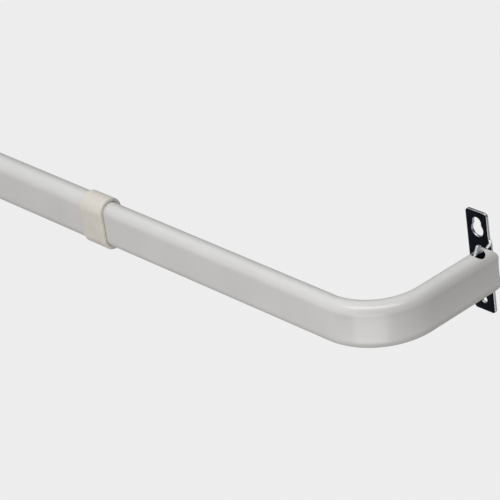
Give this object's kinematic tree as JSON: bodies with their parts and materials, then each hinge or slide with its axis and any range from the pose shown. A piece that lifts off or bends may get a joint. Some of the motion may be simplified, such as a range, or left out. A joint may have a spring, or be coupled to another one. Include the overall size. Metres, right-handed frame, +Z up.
{
  "type": "curtain rod with wall brackets",
  "caption": "Telescoping curtain rod of nested rolled steel channels with curved returns, a plastic collar and stamped wall brackets.",
  "frame": {"origin": "middle of the right bracket's back face, on the wall", "axes": "+X right along the wall and the rod, +Y into the wall, +Z up"},
  "size_m": [0.8599, 0.0839, 0.0539],
  "materials": {
    "rod_enamel": "semi-gloss white enamel",
    "collar_plastic": "moulded ivory plastic",
    "bracket_steel": "blue-black front, bright cut edges"
  },
  "bodies": {
    "right_bracket": {"right_bracket": "bracket_steel"},
    "inner_section": {"inner_rod": "rod_enamel"},
    "outer_section": {"outer_rod": "rod_enamel", "collar": "collar_plastic"},
    "left_bracket": {"left_bracket": "bracket_steel"}
  },
  "joints": [
    {"name": "rod_lift", "type": "slide", "parent": "right_bracket", "child": "inner_section", "axis": [0, 0, 1], "range_m": [0, 0.006]},
    {"name": "rod_extend", "type": "slide", "parent": "inner_section", "child": "outer_section", "axis": [-1, 0, 0], "range_m": [-0.148, 0.358]},
    {"name": "left_seat", "type": "slide", "parent": "outer_section", "child": "left_bracket", "axis": [0, 0, 1], "range_m": [-0.006, 0]}
  ],
  "couplings": [
    {"joint": "left_seat", "follows": "rod_lift", "ratio": -1}
  ]
}
